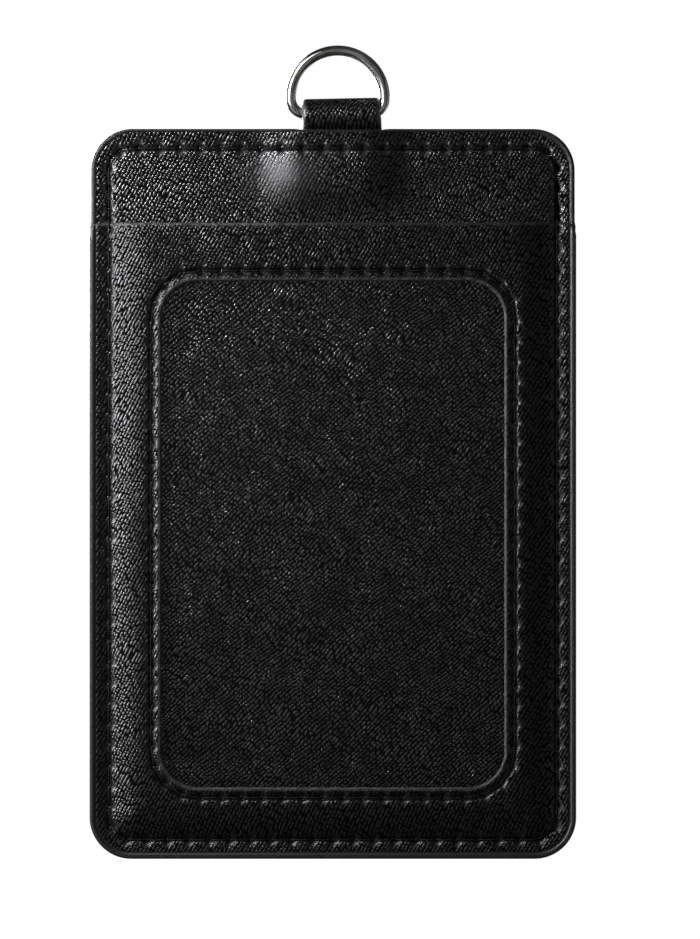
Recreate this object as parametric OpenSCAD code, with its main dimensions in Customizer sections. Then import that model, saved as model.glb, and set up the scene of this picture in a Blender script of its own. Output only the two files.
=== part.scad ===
// Upright badge wallet in leather: a stiff base with a windowed pocket on its front and a plain
// pocket on its back, hung from a D-ring by a folded strap.
// The origin is the point inside the top of the ring where a hook would bear.
// +Z is up, +X is to the right of the windowed face, and that face looks along -Y.
// A depth is a distance from the middle plane of the base, towards the face that is meant.

/* [Card] */
// Width of the card that each pocket takes
card_w = 54; // [50:0.5:70]
// Height of the card
card_h = 85.6; // [80:0.2:100]
// Thickness of the card
card_t = 0.76; // [0.5:0.02:1.5]
// Slack of a pocket over the card's thickness
card_slack = 0.1; // [0.05:0.05:0.5]

/* [Body] */
// Room from the card's side to the body's edge
side_room = 8; // [7.5:0.25:14]
// Room from the card's lower edge to the body's lower edge
foot_room = 6; // [6:0.25:12]
// Drop from the body's top edge to the mouths of the pockets
mouth_drop = 13.4; // [12.5:0.1:20]
// Corner radius of the body
body_r = 6; // [4:0.5:9]
// Corner radius at the ends of a pocket's mouth
mouth_r = 0.8; // [0.4:0.1:1.6]

/* [Sheets] */
// Thickness of the leather
leather_t = 0.8; // [0.7:0.05:1.2]
// Thickness of the board inside the base
board_t = 0.5; // [0.3:0.05:0.8]
// Thickness of a pocket's lining
lining_t = 0.2; // [0.16:0.02:0.4]
// Thickness of the clear film, and of the hem beside it
film_t = 0.35; // [0.2:0.05:0.6]
// Thickness of the coat on the cut edges
coat_t = 0.2; // [0.1:0.05:0.4]

/* [Pocket form] */
// Flat land between the edge seam and the slope of a pocket
seam_land = 0.6; // [0.4:0.1:1]
// Width of the slope from the sewn rim up to the pocket's flat
slope_w = 3.15; // [2:0.05:3.5]
// Corner radius of the slope and the flat
field_r = 2.5; // [1.5:0.5:4]
// Length of the hem turned in at a mouth
hem_l = 5; // [3:0.1:5]
// Gap that keeps the film and the linings clear of the hems and slopes
sheet_gap = 0.15; // [0.1:0.05:0.3]

/* [Window] */
// Lap of the frame over the card's side
window_lap = 2.4; // [2:0.1:5]
// Lap of the frame over the card's top
window_top_lap = 8.55; // [8.1:0.05:14]
// Lap of the frame over the card's lower edge
window_foot_lap = 4.35; // [3.5:0.05:10]
// Corner radius of the window
window_r = 5.3; // [3:0.1:8]
// How much further back the lining is cut than the leather, all round the window
lining_cut = 0.5; // [0.2:0.1:0.8]

/* [Seams] */
// Distance from the body's edge to the edge seam
seam_inset = 2.75; // [2.4:0.05:3]
// Stitch length of the edge seam
edge_pitch = 2.95; // [2:0.05:5]
// Thread diameter of the edge seam
edge_thread_d = 0.5; // [0.3:0.05:0.6]
// Distance from the window's edge to its seam
window_seam = 1.7; // [1.2:0.05:1.8]
// Stitch length of the window seam
window_pitch = 2.9; // [2:0.05:5]
// Thread diameter of the window seam
window_thread_d = 0.4; // [0.3:0.05:0.5]
// How deep a stitch sinks into the leather
thread_sink = 0.3; // [0.1:0.05:0.35]
// How deep the window seam's lower thread sinks into the lining
lining_sink = 0.05; // [0:0.01:0.06]
// Clearance of a thread in its dent and its needle hole
thread_clear = 0.05; // [0.02:0.01:0.08]

/* [Strap] */
// Width of the strap in the body
strap_w = 11; // [8:0.1:11]
// Width of the strap at its fold
fold_w = 10.5; // [7:0.1:10.5]
// Thickness of the strap round the bar
strap_t = 1.3; // [0.9:0.05:1.4]
// Thickness of each strap end, pared down, inside the body
leg_t = 0.75; // [0.5:0.05:0.9]
// Length of the strap ends inside the body
leg_l = 8.5; // [6:0.1:9]
// How far the strap sits right of the ring's middle
strap_shift = 0.45; // [0:0.05:0.45]
// Cut across each outer corner of the fold
fold_cut = 0.6; // [0.3:0.1:1]
// Clearance of the strap ends in their pocket
leg_clear = 0.05; // [0.02:0.01:0.1]
// Width of the slopes beside the mound that the strap ends raise
mound_side = 5; // [3:0.5:7]
// Width of the slope below the mound
mound_foot = 2.5; // [1:0.1:3]

/* [Ring] */
// Diameter of the ring's wire
wire_d = 1.5; // [1:0.1:1.6]
// Clear width inside the ring
ring_w = 12; // [12:0.1:16]
// Distance from the centre of the ring's arc down to the axis of its bar
ring_drop = 2.35; // [2:0.05:4]
// Bend radius of the ring's lower corners, on the wire's axis
ring_bend = 1.4; // [1:0.05:1.4]
// Distance from the bar's axis down to the body's top edge
bar_to_body = 2.2; // [2.2:0.05:4]
// How far the ring hangs right of the body's middle
ring_shift = 0.7; // [0:0.1:2]
// Running clearance between the bar and the strap's eye
eye_clear = 0.08; // [0.06:0.01:0.09]

/* [Hidden] */
$fn = 48;

// Overrun of a cut past the faces it opens
over = 0.4;
// Thickness of the plates that a tapered form is drawn between
sliver = 0.01;
// Slit between the two ends of the strap
ply_gap = 0.04;
// How much stouter a thread is where it goes down a needle hole
upright_extra = 0.05;
// How far a stitch stops short of the axis of the upright it joins
stitch_trim = 0.1;
// How far an upright stands above its stitches
upright_cap = 0.02;
// Gap between a pocket's mouth and the thread that climbs over it
riser_gap = 0.12;
// Gap between the edge coat and the strap
coat_gap = 0.3;

wire_r = wire_d / 2;
ring_r = ring_w / 2 + wire_r;
arc_z = -ring_w / 2;
bar_z = arc_z - ring_drop;

body_w = card_w + 2 * side_room;
body_h = mouth_drop + card_h + foot_room;
body_x = -ring_shift;
body_left = body_x - body_w / 2;
body_right = body_x + body_w / 2;
body_top = bar_z - bar_to_body;
body_foot = body_top - body_h;
mouth_z = body_top - mouth_drop;

board_face = board_t / 2;
base_face = board_face + leather_t;
rim_in = base_face + lining_t;
rim_out = rim_in + leather_t;

bobbin_proud = window_thread_d - lining_sink;
front_lining_in = base_face + card_t + card_slack + bobbin_proud;
front_film_in = front_lining_in + lining_t;
front_in = front_film_in + film_t;
front_out = front_in + leather_t;
back_lining_in = base_face + card_t + card_slack;
back_in = back_lining_in + lining_t;
back_out = back_in + leather_t;

rim_w = seam_inset + seam_land;
field_w = rim_w + slope_w;
field_left = body_left + field_w;
field_right = body_right - field_w;

window_left = body_left + side_room + window_lap;
window_right = body_right - side_room - window_lap;
window_top = mouth_z - window_top_lap;
window_foot = body_foot + foot_room + window_foot_lap;

strap_left = strap_shift - strap_w / 2;
strap_right = strap_shift + strap_w / 2;
eye_r = wire_r + eye_clear;
fold_r = eye_r + strap_t;
leg_foot = body_top - leg_l;
leg_face = leg_t + leg_clear;
mound_h = leg_face - board_face;

// Seam stations: the edge seam is an upper and a lower half that meet just above the mouths
seam_half_w = body_w / 2 - seam_inset;
seam_r = body_r - seam_inset;
edge_r = edge_thread_d / 2;
upright_r = edge_r + upright_extra;
riser_z = mouth_z + riser_gap + upright_r;
upper_side = body_top - seam_inset - seam_r - riser_z;
lower_side = riser_z - body_foot - seam_inset - seam_r;
upper_holes = [for (p = half_loop(seam_half_w, upper_side, seam_r, edge_pitch))
    [body_x + p[0], riser_z + p[1]]];
lower_holes = [for (p = half_loop(seam_half_w, lower_side, seam_r, edge_pitch))
    [body_x + p[0], riser_z - p[1]]];
left_riser = [body_x - seam_half_w, riser_z];
right_riser = [body_x + seam_half_w, riser_z];
upper_depth = base_face + edge_r - thread_sink;
lower_depth = rim_out + edge_r - thread_sink;
// Points of the upper half of the edge seam, from riser to riser, and of the lower half
upper_line = concat([left_riser], upper_holes, [right_riser]);
lower_line = concat([left_riser], lower_holes, [right_riser]);

window_x = (window_left + window_right) / 2;
window_z = (window_top + window_foot) / 2;
window_seam_r = window_r + window_seam;
window_half_w = (window_right - window_left) / 2 + window_seam;
window_side = (window_top - window_foot) / 2 - window_r;
window_thread_r = window_thread_d / 2;
window_upright_r = window_thread_r + upright_extra;
window_half = half_loop(window_half_w, window_side, window_seam_r, window_pitch);
window_holes = [for (turn = [1, -1]) for (p = window_half)
    [window_x + turn * p[0], window_z + turn * p[1]]];
window_depth = front_out + window_thread_r - thread_sink;
bobbin_depth = front_lining_in - window_thread_r + lining_sink;
lock_depth = (front_lining_in + front_out) / 2;

// Length of half a rounded outline: up one side, round a corner, across, and down again
function half_length(half_w, side, r) = 2 * side + PI * r + 2 * (half_w - r);

// Point at distance s along that half, which starts at the lower left
function half_point(s, half_w, side, r) =
    let (bend = PI * r / 2, across = 2 * (half_w - r))
    s < side ? [-half_w, s]
    : s < side + bend ? turn_point(-half_w + r, side, r, 180 - (s - side) / bend * 90)
    : s < side + bend + across ? [-half_w + r + s - side - bend, side + r]
    : s < side + 2 * bend + across
        ? turn_point(half_w - r, side, r, 90 - (s - side - bend - across) / bend * 90)
    : [half_w, 2 * side + 2 * bend + across - s];

function turn_point(x, z, r, angle) = [x + r * cos(angle), z + r * sin(angle)];

// Needle holes along the half, evenly spaced at the pitch or near it
function half_loop(half_w, side, r, pitch) =
    let (total = half_length(half_w, side, r), count = max(2, round(total / pitch)))
    [for (i = [0:count - 1]) half_point((i + 0.5) * total / count, half_w, side, r)];

// How far the mound lifts the base skin at a point of the edge seam
function mound_lift(p) = p[1] < leg_foot ? 0
    : mound_h * max(0, min(1, (strap_w / 2 + mound_side - abs(p[0] - strap_shift)) / mound_side));

// Depth of the edge seam's stitches above the mouths
function upper_level(p) = upper_depth + mound_lift(p);

// An outline seen from the front, standing at depths from d0 out to d1
module layer(d0, d1) {
    rotate([90, 0, 0])
        translate([0, 0, d0])
            linear_extrude(d1 - d0)
                children();
}

// A rectangle from its corners, with one radius at its foot and one at its top
module slab(left, foot, right, top, foot_r, top_r) {
    translate([left, foot + foot_r])
        square([right - left, top - foot - foot_r - top_r]);
    translate([left + foot_r, foot])
        square([right - left - 2 * foot_r, foot_r]);
    translate([left + top_r, top - top_r])
        square([right - left - 2 * top_r, top_r]);
    for (x = [left + foot_r, right - foot_r])
        translate([x, foot + foot_r])
            circle(foot_r);
    for (x = [left + top_r, right - top_r])
        translate([x, top - top_r])
            circle(top_r);
}

module body_plate(inset) {
    slab(body_left + inset, body_foot + inset, body_right - inset, body_top - inset,
        body_r - inset, body_r - inset);
}

// The sewn sheet of a pocket, seen from the front, up to the height given
module pocket_plate(inset, top) {
    slab(body_left + inset, body_foot + inset, body_right - inset, top, body_r - inset, mouth_r);
}

module field_plate(inset) {
    slab(body_left + inset, body_foot + inset, body_right - inset, mouth_z + over, field_r, mouth_r);
}

module window_plate(grow) {
    slab(window_left - grow, window_foot - grow, window_right + grow, window_top + grow,
        window_r + grow, window_r + grow);
}

// The form that a card gives a pocket: straight up to the rim's depth, then sloping to the flat
module dish(d_base, d_rim, d_field) {
    hull($fn = 32) {
        layer(d_base, d_rim)
            field_plate(rim_w);
        layer(d_field - sliver, d_field)
            field_plate(field_w);
    }
}

// A sheet pressed over that form, flat at its sewn rim and flat again over the card
module pocket_sheet(rim_a, rim_b, field_a, field_b, top) {
    difference() {
        union() {
            layer(rim_a, rim_b)
                pocket_plate(coat_t, top);
            dish((rim_a + rim_b) / 2, rim_b, field_b);
        }
        dish(rim_a - over, rim_a, field_a);
        layer(rim_a - over, field_b + over)
            translate([body_left, top])
                square([body_w, mouth_z - top + 2 * over]);
    }
}

// The leather turned in along a mouth, and the round of its fold
module hem(d_in, d_leather) {
    layer(d_in, d_leather + over)
        translate([field_left + sheet_gap, mouth_z - hem_l])
            square([field_right - field_left - 2 * sheet_gap, hem_l]);
}

module mouth_round(d_in, d_out) {
    r = (d_out - d_in) / 2;
    difference() {
        layer(d_in - over, d_out + over)
            translate([field_left, mouth_z - r])
                square([field_right - field_left, r + over]);
        translate([field_left - over, -d_in - r, mouth_z - r])
            rotate([0, 90, 0])
                cylinder(h = field_right - field_left + 2 * over, r = r);
    }
}

// A needle hole at point p, or the thread in it, from depth d0 out to d1
module upright(p, d0, d1, r) {
    translate([p[0], -d0, p[1]])
        rotate([90, 0, 0])
            cylinder(h = d1 - d0, r = r);
}

// Turns what lies along +X from the origin to run from point p at depth dp to q at depth dq
module along(p, dp, q, dq) {
    flat = norm(q - p);
    translate([p[0], -dp, p[1]])
        rotate([0, -atan2(q[1] - p[1], q[0] - p[0]), 0])
            rotate([0, 0, atan2(dp - dq, flat)])
                children();
}

// One stitch, stopping short of the axes of the two uprights that it joins
module stitch(p, dp, q, dq, r) {
    along(p, dp, q, dq)
        translate([stitch_trim, 0, 0])
            rotate([0, 90, 0])
                cylinder(h = norm([q[0] - p[0], q[1] - p[1], dq - dp]) - 2 * stitch_trim, r = r,
                    $fn = 8);
}

// The dent that a stitch lies in, open to the leather's face
module dent(p, dp, q, dq, r) {
    along(p, dp, q, dq)
        translate([0, -r - over, -r])
            cube([norm([q[0] - p[0], q[1] - p[1], dq - dp]), 2 * r + over, 2 * r]);
}

// The edge seam's thread on one face, with the threads that climb from the base to the pocket
module edge_thread() {
    for (p = upper_holes)
        upright(p, 0, upper_level(p) + edge_r + upright_cap, upright_r);
    for (p = lower_holes)
        upright(p, 0, lower_depth + edge_r + upright_cap, upright_r);
    for (p = [left_riser, right_riser])
        upright(p, upper_depth - edge_r, lower_depth + edge_r + upright_cap, upright_r);
    for (i = [1:len(upper_line) - 1])
        stitch(upper_line[i - 1], upper_level(upper_line[i - 1]),
            upper_line[i], upper_level(upper_line[i]), edge_r);
    for (i = [1:len(lower_line) - 1])
        stitch(lower_line[i - 1], lower_depth, lower_line[i], lower_depth, edge_r);
}

// What that thread takes out of a base skin
module upper_dents() {
    r = edge_r + thread_clear;
    for (i = [1:len(upper_line) - 1])
        dent(upper_line[i - 1], upper_level(upper_line[i - 1]),
            upper_line[i], upper_level(upper_line[i]), r);
    for (p = [left_riser, right_riser])
        upright(p, upper_depth - r, base_face + over, upright_r + thread_clear);
}

// What it takes out of a pocket's leather
module lower_dents() {
    for (i = [1:len(lower_line) - 1])
        dent(lower_line[i - 1], lower_depth, lower_line[i], lower_depth, edge_r + thread_clear);
}

module edge_holes(holes, d0, d1) {
    for (p = holes)
        upright(p, d0, d1, upright_r + thread_clear);
}

// One thread of the window seam: its stitches at one depth, its uprights between two
module window_thread(d0, d1, d_stitch) {
    count = len(window_holes);
    for (p = window_holes)
        upright(p, d0, d1, window_upright_r);
    for (i = [0:count - 1])
        stitch(window_holes[i], d_stitch, window_holes[(i + 1) % count], d_stitch,
            window_thread_r);
}

module window_needle_holes(d0, d1) {
    for (p = window_holes)
        upright(p, d0, d1, window_upright_r + thread_clear);
}

module window_dents(d_stitch) {
    count = len(window_holes);
    for (i = [0:count - 1])
        dent(window_holes[i], d_stitch, window_holes[(i + 1) % count], d_stitch,
            window_thread_r + thread_clear);
}

// A base skin: flat, with the mound over the strap's end and the recess that holds it
module base_skin() {
    difference() {
        union() {
            layer(board_face, base_face)
                body_plate(coat_t);
            hull() {
                layer(base_face - sliver, base_face)
                    translate([strap_left - mound_side, leg_foot - mound_foot])
                        square([strap_w + 2 * mound_side, leg_l + mound_foot - coat_t]);
                layer(base_face + mound_h - sliver, base_face + mound_h)
                    translate([strap_left - leg_clear, leg_foot - leg_clear])
                        square([strap_w + 2 * leg_clear, leg_l + leg_clear - coat_t]);
            }
        }
        layer(board_face - over, leg_face)
            strap_recess();
        upper_dents();
        edge_holes(upper_holes, 0, base_face + mound_h + over);
        edge_holes(lower_holes, 0, base_face + over);
    }
}

module strap_recess() {
    translate([strap_left - leg_clear, leg_foot - leg_clear])
        square([strap_w + 2 * leg_clear, leg_l + leg_clear + over]);
}

// The strap seen from the front
module strap_outline() {
    fold_left = strap_shift - fold_w / 2;
    fold_right = strap_shift + fold_w / 2;
    fold_top = bar_z + fold_r;
    polygon([[strap_left, leg_foot], [strap_right, leg_foot], [strap_right, body_top],
        [fold_right, bar_z], [fold_right, fold_top - fold_cut], [fold_right - fold_cut, fold_top],
        [fold_left + fold_cut, fold_top], [fold_left, fold_top - fold_cut], [fold_left, bar_z],
        [strap_left, body_top]]);
}

// Points where lines from a point below touch a round of radius r about the bar, right side
function touch(r, y, drop) =
    let (angle = atan2(-drop, y) + acos(r / norm([y, drop])))
    [r * cos(angle), bar_z + r * sin(angle)];

// Section across the strap's fold, drawn as depth to the right and height upwards
module fold_flanks() {
    outer = touch(fold_r, leg_t, bar_to_body);
    polygon([[outer[0], outer[1]], [leg_t, body_top], [leg_t, leg_foot], [-leg_t, leg_foot],
        [-leg_t, body_top], [-outer[0], outer[1]]]);
}

module fold_slit() {
    pinch = bar_to_body - strap_t / 2 + leg_t / 2;
    inner = touch(eye_r, ply_gap / 2, pinch);
    polygon([[inner[0], inner[1]], [ply_gap / 2, bar_z - pinch], [ply_gap / 2, leg_foot - over],
        [-ply_gap / 2, leg_foot - over], [-ply_gap / 2, bar_z - pinch], [-inner[0], inner[1]]]);
}

// A section swept across the strap, past both of its sides
module across_strap() {
    translate([strap_left - over, 0, 0])
        rotate([90, 0, 90])
            linear_extrude(strap_w + 2 * over)
                children();
}

module round_the_bar(r) {
    translate([strap_left - over, 0, bar_z])
        rotate([0, 90, 0])
            cylinder(h = strap_w + 2 * over, r = r);
}

module d_ring() color("silver") {
    translate([0, 0, arc_z])
        rotate([90, 0, 0])
            rotate_extrude(angle = 180)
                translate([ring_r, 0])
                    circle(wire_r);
    for (side = [1, -1])
        translate([side * ring_r, 0, bar_z + ring_bend])
            cylinder(h = ring_drop - ring_bend, r = wire_r);
    for (side = [0, 1])
        mirror([side, 0, 0])
            translate([ring_r - ring_bend, 0, bar_z + ring_bend])
                rotate([90, 0, 0])
                    rotate([0, 0, 270])
                        rotate_extrude(angle = 90)
                            translate([ring_bend, 0])
                                circle(wire_r);
    translate([ring_bend - ring_r, 0, bar_z])
        rotate([0, 90, 0])
            cylinder(h = 2 * (ring_r - ring_bend), r = wire_r);
}

module hanging_strap() color([0.09, 0.09, 0.1]) {
    difference() {
        intersection() {
            union() {
                round_the_bar(fold_r);
                across_strap()
                    fold_flanks();
            }
            layer(-fold_r - over, fold_r + over)
                strap_outline();
        }
        round_the_bar(eye_r);
        across_strap()
            fold_slit();
        edge_holes(upper_holes, -leg_t - over, leg_t + over);
    }
}

module base_front_skin() color([0.1, 0.1, 0.11]) {
    base_skin();
}

module base_back_skin() color([0.1, 0.1, 0.11]) {
    mirror([0, 1, 0])
        base_skin();
}

module base_board() color([0.45, 0.36, 0.26]) {
    difference() {
        layer(-board_face, board_face)
            body_plate(coat_t);
        layer(-board_face - over, board_face + over)
            strap_recess();
        edge_holes(concat(upper_holes, lower_holes), -board_face - over, board_face + over);
    }
}

module front_panel() color([0.08, 0.08, 0.09]) {
    difference() {
        union() {
            pocket_sheet(rim_in, rim_out, front_in, front_out, mouth_z);
            hem(front_film_in, front_in);
        }
        mouth_round(front_film_in, front_out);
        layer(front_in - over, front_out + over)
            window_plate(0);
        lower_dents();
        edge_holes(lower_holes, 0, rim_out + over);
        window_dents(window_depth);
        window_needle_holes(front_in - over, front_out + over);
    }
}

module window_film() color([0.85, 0.9, 0.92, 0.35]) {
    difference() {
        layer(front_film_in, front_in)
            slab(field_left + sheet_gap, body_foot + field_w + sheet_gap, field_right - sheet_gap,
                mouth_z - hem_l - sheet_gap, field_r, mouth_r);
        window_needle_holes(front_film_in - over, front_in + over);
    }
}

module front_lining() color([0.14, 0.14, 0.15]) {
    difference() {
        pocket_sheet(base_face, rim_in, front_lining_in, front_film_in, mouth_z - mouth_r - sheet_gap);
        layer(front_lining_in - over, front_film_in + over)
            window_plate(lining_cut);
        edge_holes(lower_holes, 0, rim_in + over);
        mirror([0, 1, 0])
            window_dents(-bobbin_depth);
        window_needle_holes(front_lining_in - over, front_film_in + over);
    }
}

module back_panel() color([0.08, 0.08, 0.09]) {
    mirror([0, 1, 0])
        difference() {
            union() {
                pocket_sheet(rim_in, rim_out, back_in, back_out, mouth_z);
                hem(back_lining_in, back_in);
            }
            mouth_round(back_lining_in, back_out);
            lower_dents();
            edge_holes(lower_holes, 0, rim_out + over);
        }
}

module back_lining() color([0.14, 0.14, 0.15]) {
    mirror([0, 1, 0])
        difference() {
            pocket_sheet(base_face, rim_in, back_lining_in, back_in, mouth_z - hem_l - sheet_gap);
            edge_holes(lower_holes, 0, rim_in + over);
        }
}

module edge_coat() color([0.05, 0.05, 0.055]) {
    layer(-base_face, base_face)
        difference() {
            body_plate(0);
            body_plate(coat_t);
            translate([strap_left - coat_gap, body_top - coat_t - over])
                square([strap_w + 2 * coat_gap, coat_t + 2 * over]);
        }
    layer(-rim_out, rim_out)
        difference() {
            pocket_plate(0, mouth_z);
            pocket_plate(coat_t, mouth_z + body_r);
        }
}

module edge_needle_thread() color([0.16, 0.16, 0.17]) {
    edge_thread();
}

module edge_bobbin_thread() color([0.16, 0.16, 0.17]) {
    mirror([0, 1, 0])
        edge_thread();
}

module window_needle_thread() color([0.16, 0.16, 0.17]) {
    window_thread(lock_depth, window_depth + window_thread_r + upright_cap, window_depth);
}

module window_bobbin_thread() color([0.16, 0.16, 0.17]) {
    window_thread(bobbin_depth - window_thread_r - upright_cap, lock_depth, bobbin_depth);
}

d_ring();
hanging_strap();
base_front_skin();
base_board();
base_back_skin();
front_panel();
window_film();
front_lining();
back_panel();
back_lining();
edge_coat();
edge_needle_thread();
edge_bobbin_thread();
window_needle_thread();
window_bobbin_thread();
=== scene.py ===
import math
from functools import partial

import bmesh
import bpy
import numpy as np
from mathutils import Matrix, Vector


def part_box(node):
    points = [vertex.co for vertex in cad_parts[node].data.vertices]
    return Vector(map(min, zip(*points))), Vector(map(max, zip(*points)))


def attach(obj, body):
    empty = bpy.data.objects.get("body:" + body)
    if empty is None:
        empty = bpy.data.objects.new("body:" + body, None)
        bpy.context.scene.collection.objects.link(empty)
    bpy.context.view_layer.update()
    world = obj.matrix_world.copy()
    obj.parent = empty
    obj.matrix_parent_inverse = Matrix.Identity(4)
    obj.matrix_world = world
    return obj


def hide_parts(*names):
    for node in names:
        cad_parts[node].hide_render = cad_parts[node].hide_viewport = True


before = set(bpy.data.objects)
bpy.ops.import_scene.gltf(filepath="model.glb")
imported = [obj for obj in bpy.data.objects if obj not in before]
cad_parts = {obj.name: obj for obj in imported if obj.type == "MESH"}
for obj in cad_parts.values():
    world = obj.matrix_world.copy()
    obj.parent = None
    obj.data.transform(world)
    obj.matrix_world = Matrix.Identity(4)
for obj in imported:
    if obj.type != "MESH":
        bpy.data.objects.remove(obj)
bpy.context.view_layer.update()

# Upright badge wallet in black leather, hung from a D-ring. Lengths are in millimetres until a mesh is
# made, and a depth is a distance from the middle plane of the base towards the face that is meant.
mm = 0.001
bodyLow, bodyHigh = (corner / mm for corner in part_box("edge_coat"))
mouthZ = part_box("front_panel")[1].z / mm

wallet = {
    "left": bodyLow.x, "right": bodyHigh.x, "foot": bodyLow.z, "top": bodyHigh.z,
    "cornerR": 6.0,  # corners of the outline
    "mouthR": 1.3,  # corners at the ends of a mouth
    "leastR": 0.2,  # no corner of an inner line is sharper
    "pinch": 0.0062,  # above the mouth the body is narrower by this share,
    "pinchFrom": 1.1, "pinchOver": 1.3,  # from so far below the mouth, over such a height
    "leather": 0.8,
    "air": 0.02,  # between two pieces that lie on each other
    "skinFace": 1.05,  # outer face of a base skin
    "rimFace": 2.05,  # outer face of a pocket where it is sewn
}
middleX = (wallet["left"] + wallet["right"]) / 2

windowHole = {
    "left": wallet["left"] + 10.4, "right": wallet["right"] - 10.4,
    "foot": wallet["foot"] + 10.35, "top": mouthZ - 8.55, "footR": 5.3, "topR": 5.3,
}

ring = {"wireR": 0.75, "sides": 48, "arcR": 6.75, "arcZ": -6.0, "barZ": -8.35, "bend": 2.1}

strap = {
    "left": -5.0, "right": 6.3, "foldLeft": -5.15, "foldRight": 6.05,
    "foot": wallet["top"] - 8.5, "leg": 0.75, "eyeR": 0.83, "foldR": 2.2,
    "part": 2.2, "meet": 1.925,  # below the bar: where its sides part
    "gap": 0.02,  # from a leg's inner side to the middle plane
    "mound": 1.15,  # how far each end lifts the base skin over it
    "moundBack": 0.9,  # the share of that on the skin's own back
    "moundLeft": (7.2, 7.2), "moundRight": (5.0, 8.0), "moundFoot": (5.2, 6.6),  # slopes: start, length
    "tilt": 0.02,  # the fold's top edge runs up to the right
    "bevel": [(0.0, 0.42), (0.1, 0.24), (0.24, 0.1), (0.42, 0.02), (0.6, 0.0)],  # in from the edge, down
}


# seams: where the needle went through

seams = {
    "inset": 2.75, "pitch": 2.95, "cornerR": 3.25, "thread": 0.28, "riser": 0.42, "sink": 0.14,
    "bed": 0.03,  # how far its thread stands above the groove's foot
    "windowOut": 1.52, "windowPitch": 2.9, "windowThread": 0.26,
    "windowUnder": 2.1,  # depth of the window seam's lower thread
}


def halfSeam(halfW, side, r, pitch):  # holes along half a rounded outline
    bend, across = math.pi * r / 2, 2 * (halfW - r)
    total = 2 * side + 2 * bend + across
    count = max(2, round(total / pitch))
    holes = []
    for step in range(count):
        s = (step + 0.5) * total / count
        left = min(s, total - s)  # the right half mirrors the left one
        if left < side:
            x, z = -halfW, left
        elif left < side + bend:
            turn = math.pi * (1 - (left - side) / bend / 2)
            x, z = r - halfW + r * math.cos(turn), side + r * math.sin(turn)
        else:
            x, z = r - halfW + left - side - bend, side + r
        holes.append((x if s < total / 2 else -x, z))
    return holes


riserZ = mouthZ + seams["riser"]
seamHalfW = (wallet["right"] - wallet["left"]) / 2 - seams["inset"]
upperSide = wallet["top"] - seams["inset"] - seams["cornerR"] - riserZ
lowerSide = riserZ - wallet["foot"] - seams["inset"] - seams["cornerR"]
risers = [(middleX - seamHalfW, riserZ), (middleX + seamHalfW, riserZ)]


def edgeLine(side, way):  # from the left riser over the top, or under the foot, to the right one
    holes = halfSeam(seamHalfW, side, seams["cornerR"], seams["pitch"])
    return [risers[0], *((middleX + x, riserZ + way * z) for x, z in holes), risers[1]]


upperLine, lowerLine = edgeLine(upperSide, 1), edgeLine(lowerSide, -1)
windowZ = (windowHole["foot"] + windowHole["top"]) / 2
windowHalf = halfSeam(
    (windowHole["right"] - windowHole["left"]) / 2 + seams["windowOut"],
    (windowHole["top"] - windowHole["foot"]) / 2 - windowHole["topR"],
    windowHole["topR"] + seams["windowOut"], seams["windowPitch"])
windowHoles = [(middleX + turn * x, windowZ + turn * z) for turn in (1, -1) for x, z in windowHalf]


def headings(line, loop):  # each hole with the way the seam runs through it
    ends = [line[-1], *line, line[0]] if loop else [line[0], *line, line[-1]]
    return [(x, z, math.atan2(after[1] - before[1], after[0] - before[0]))
            for before, (x, z), after in zip(ends, line, ends[2:])]


# the relief of the leather

relief = {
    "step": (0.2, 0.66, 0.17),  # down from the bead: depth, where it starts, how wide
    "lean": (0.14, 0.9, 2.6),  # the strip then leans down to the seam
    "climb": (2.86, 0.34),  # and the leather climbs again behind it
    "valley": (0.2, 2.78, 0.18),  # the seam's groove: depth, distance from the edge, width
    "dip": (0.07, 2.8, 0.4),  # and how the leather leans into it from both sides
    "topLine": (0.5, 4.5, 3.5, 31.5, 3),  # thinner bead: by what, height, its slope, half width, its end
    "windowValley": (0.24, 1.52, 0.17),
    "windowDip": (0.48, 1.52, 0.92, 0.26),  # leans down to the seam, and up again faster
    "roll": 0.07, "rollFrom": 0.3, "rollLong": 0.25,  # the window's edge is rolled over
    "riseFrom": 3.0, "riseTo": 8.2, "riseBend": 1.8,  # a pocket swells behind its seam
    "pit": 0.5, "pitLong": 0.52, "pitWide": 0.35, "pitSlant": 0.5,  # where the needle went in
    "dimple": 0.28, "dimpleR": 0.66,  # a wider hollow round each hole
    "tight": (0.85, 0.62, 0.42),  # and a smooth ring: how smooth, its radius, its width
    "pucker": 0.19, "puckerOff": (0.75, 0.12), "puckerSize": (0.3, 0.26),
    "reach": 1.6,  # how far from a hole its marks go
    "fold": 0.42, "foldLong": 1.15,
    "skinRise": (0.1, 3.0, 3.5),  # height, distance from the edge, width
    "skinWaves": (0.035, 2, 6), "pocketWaves": (0.05, 3, 5),
}
pockets = {  # highest face, room that the waves need below it, their seed, and what lies inside
    "front": {"face": 3.61, "room": 0.1, "seed": 5, "hem": 0.35, "film": 0.37},
    "back": {"face": 2.91, "room": 0.05, "seed": 11, "hem": 0.2, "film": 0},
}


def bell(t, size):
    return size[0] * np.exp(-((t - size[1]) / size[2]) ** 2)


def ramp(t):
    t = np.clip(t, 0, 1)
    return t * t * (3 - 2 * t)


def inRound(x, z, form, top, r):  # distance inside a rounded outline, below zero outside
    left, right, foot = form["left"], form["right"], form["foot"]
    qx = np.abs(x - (left + right) / 2) - ((right - left) / 2 - r)
    qz = np.abs(z - (foot + top) / 2) - ((top - foot) / 2 - r)
    outside = np.hypot(np.maximum(qx, 0), np.maximum(qz, 0))
    return r - outside - np.minimum(np.maximum(qx, qz), 0)


def fromRim(x, z, openTop):  # distance from the outline; a pocket's has no top
    return inRound(x, z, wallet, wallet["top"] + (100 if openTop else 0), wallet["cornerR"])


def fromWindow(x, z):
    return -inRound(x, z, windowHole, windowHole["top"], windowHole["topR"])


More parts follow.
